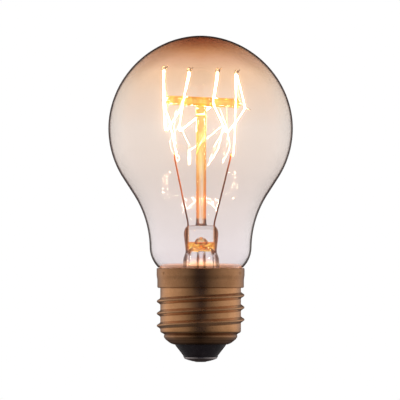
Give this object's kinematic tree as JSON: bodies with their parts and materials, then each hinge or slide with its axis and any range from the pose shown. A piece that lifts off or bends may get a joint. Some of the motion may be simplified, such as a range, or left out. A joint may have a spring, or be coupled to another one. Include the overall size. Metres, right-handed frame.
{
  "type": "filament bulb",
  "caption": "Clear pear-shaped filament lamp: amber-tinted glass, a zigzag coiled filament hooked on a T-shaped glass support, and a brass screw cap with a black insulator.",
  "frame": {"origin": "on the lamp's axis at the lowest point of the centre contact, which is the datum of the cap", "axes": "+Z along the lamp's axis from the cap to the crown; +X to the right and +Y away from the viewer in the picture, so the crossbar lies along X"},
  "size_m": [0.055, 0.055, 0.0971],
  "materials": {
    "tinted_glass": "clear blown soda-lime glass with a thin amber lacquer, strongest at the crown",
    "stem_glass": "clear lead glass, flame worked",
    "hook_wire": "thin molybdenum wire, dull",
    "filament_wire": "coiled tungsten wire, glowing",
    "lead_wire": "nickel-plated wire, warm brown in the lamp's light",
    "copper_wire": "copper-clad wire",
    "fuse_wire": "thin nickel alloy fuse wire",
    "cement": "hard resin and marble-flour basing cement",
    "cap_brass": "rolled brass sheet, browned with age, satin",
    "black_glass": "black moulded glass, glossy",
    "contact_brass": "brass, dark with age",
    "solder": "soft solder, dull grey"
  },
  "bodies": {
    "root": {"glass_envelope": "tinted_glass", "stem_flare": "stem_glass", "exhaust_tube": "stem_glass", "arbor_rod": "stem_glass", "arbor_crossbar": "stem_glass", "top_hook_1": "hook_wire", "top_hook_2": "hook_wire", "top_hook_3": "hook_wire", "top_hook_4": "hook_wire", "middle_hook_1": "hook_wire", "middle_hook_2": "hook_wire", "middle_hook_3": "hook_wire", "middle_hook_4": "hook_wire", "bottom_hook_1": "hook_wire", "bottom_hook_2": "hook_wire", "bottom_hook_3": "hook_wire", "filament": "filament_wire", "inner_lead_left": "lead_wire", "inner_lead_right": "lead_wire", "seal_wire_left": "copper_wire", "seal_wire_right": "copper_wire", "side_lead": "copper_wire", "centre_lead": "fuse_wire", "basing_cement": "cement", "screw_shell": "cap_brass", "insulator": "black_glass", "centre_contact": "contact_brass", "tip_solder": "solder", "rim_solder": "solder"}
  },
  "joints": []
}
